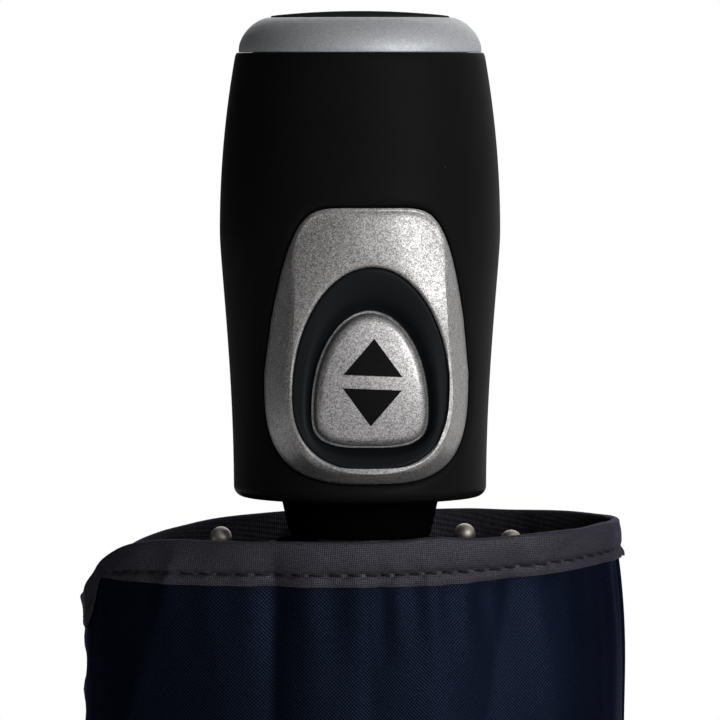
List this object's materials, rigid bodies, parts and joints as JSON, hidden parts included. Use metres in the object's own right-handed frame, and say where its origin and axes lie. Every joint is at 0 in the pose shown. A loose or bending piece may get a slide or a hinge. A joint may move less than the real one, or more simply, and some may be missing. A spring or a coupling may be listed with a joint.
{
  "type": "folding umbrella",
  "caption": "Compact folding umbrella with an automatic push-button handle, furled in its navy cloth cover and standing on the cover's base.",
  "frame": {"origin": "on the shaft's axis, in the plane of the cover's base", "axes": "+Z along the shaft, from the crown at the bottom to the handle at the top; the push button faces -Y; the cover is widest along X"},
  "size_m": [0.075, 0.0568, 0.2849],
  "materials": {
    "grip_plastic": "fine satin, soft-touch lacquer",
    "ring_paint": "satin silver lacquer with fine flake",
    "disc_plastic": "smooth semi-gloss",
    "bezel_paint": "warm grey metallic lacquer",
    "insert_plastic": "fine-grained matt",
    "button_paint": "satin grey metallic lacquer",
    "arrow_print": "black pad print",
    "spring_steel": "drawn wire",
    "latch_plastic": "moulded acetal",
    "core_plastic": "moulded nylon",
    "neck_plastic": "satin black",
    "fastener_steel": "zinc plated",
    "tube_steel": "plated tube",
    "shaft_paint": "black lacquer",
    "crown_plastic": "moulded nylon",
    "runner_plastic": "moulded nylon",
    "rib_steel": "plated steel channel",
    "tip_metal": "nickel plated",
    "canopy_cloth": "woven navy polyester",
    "press_stud": "plated press stud",
    "cover_cloth": "woven navy polyester",
    "cover_tape": "folded bias tape"
  },
  "bodies": {
    "frame": {"outer_tube": "shaft_paint", "main_spring": "spring_steel", "top_notch": "crown_plastic", "notch_wire": "fastener_steel", "tip_cap": "crown_plastic", "runner": "runner_plastic", "runner_wire": "fastener_steel", "middle_ribs": "rib_steel", "outer_ribs": "rib_steel", "rib_tips": "tip_metal", "joint_rivets": "fastener_steel", "elbow_rivets": "fastener_steel", "knee_rivets": "fastener_steel", "canopy": "canopy_cloth", "canopy_strap": "canopy_cloth", "strap_snap": "press_stud", "top_rib_1": "rib_steel", "top_rib_2": "rib_steel", "top_rib_3": "rib_steel", "top_rib_4": "rib_steel", "top_rib_5": "rib_steel", "top_rib_6": "rib_steel", "top_rib_7": "rib_steel", "top_rib_8": "rib_steel", "stretcher_1": "rib_steel", "stretcher_2": "rib_steel", "stretcher_3": "rib_steel", "stretcher_4": "rib_steel", "stretcher_5": "rib_steel", "stretcher_6": "rib_steel", "stretcher_7": "rib_steel", "stretcher_8": "rib_steel"},
    "cover": {"cover": "cover_cloth", "cover_tape": "cover_tape"},
    "middle_tube": {"middle_tube": "tube_steel", "middle_bush": "core_plastic"},
    "handle": {"grip_shell": "grip_plastic", "end_ring": "ring_paint", "end_disc": "disc_plastic", "button_bezel": "bezel_paint", "bezel_insert": "insert_plastic", "handle_core": "core_plastic", "neck_collar": "neck_plastic", "neck_screws": "fastener_steel", "tube_pin": "fastener_steel", "spring_plug": "core_plastic", "inner_tube": "tube_steel", "inner_bush": "core_plastic", "button_spring": "spring_steel", "latch_spring": "spring_steel"},
    "button": {"push_button": "button_paint", "button_arrows": "arrow_print"},
    "latch": {"latch_plate": "latch_plastic"}
  },
  "joints": [
    {"name": "cover_slide", "type": "slide", "parent": "frame", "child": "cover", "axis": [0, 0, -1], "range_m": [0, 0.225]},
    {"name": "middle_tube_slide", "type": "slide", "parent": "frame", "child": "middle_tube", "axis": [0, 0, 1], "range_m": [0, 0.16], "deforming": ["main_spring"]},
    {"name": "inner_tube_slide", "type": "slide", "parent": "middle_tube", "child": "handle", "axis": [0, 0, 1], "range_m": [0, 0.16], "deforming": ["main_spring"]},
    {"name": "button_press", "type": "slide", "parent": "handle", "child": "button", "axis": [0, 1, 0], "range_m": [0, 0.0025], "stiffness_N_per_m": 600, "springref_m": -0.001, "deforming": ["button_spring"]},
    {"name": "latch_slide", "type": "slide", "parent": "handle", "child": "latch", "axis": [0, 1, 0], "range_m": [0, 0.0025], "deforming": ["latch_spring"]}
  ],
  "couplings": [
    {"joint": "latch_slide", "follows": "button_press", "ratio": 1}
  ]
}
